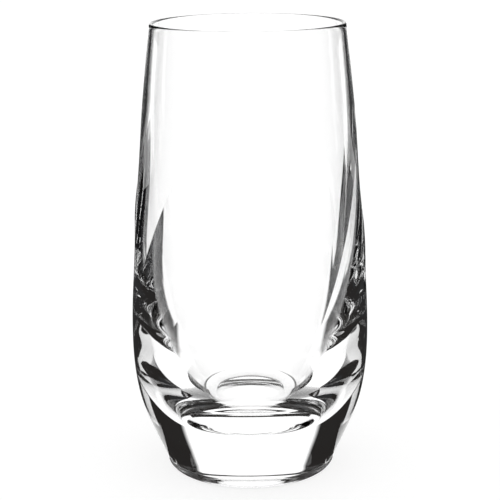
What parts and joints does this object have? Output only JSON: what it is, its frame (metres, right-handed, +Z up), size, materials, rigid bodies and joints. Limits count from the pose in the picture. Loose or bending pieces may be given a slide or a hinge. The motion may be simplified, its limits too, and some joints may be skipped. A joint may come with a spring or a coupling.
{
  "type": "beer tumbler",
  "caption": "Barrel-shaped clear glass tumbler with gently twisted facets, a thin plain rim and a heavy solid base, for serving beer or another long drink.",
  "frame": {"origin": "middle of the foot, on the surface that the glass stands on", "axes": "+Z up along the glass's axis, -Y towards the picture's camera, +X to its right"},
  "size_m": [0.0794, 0.0794, 0.15],
  "materials": {
    "clear_glass": "fire-polished clear crystal"
  },
  "bodies": {
    "root": {"bowl": "clear_glass", "base": "clear_glass"}
  },
  "joints": []
}
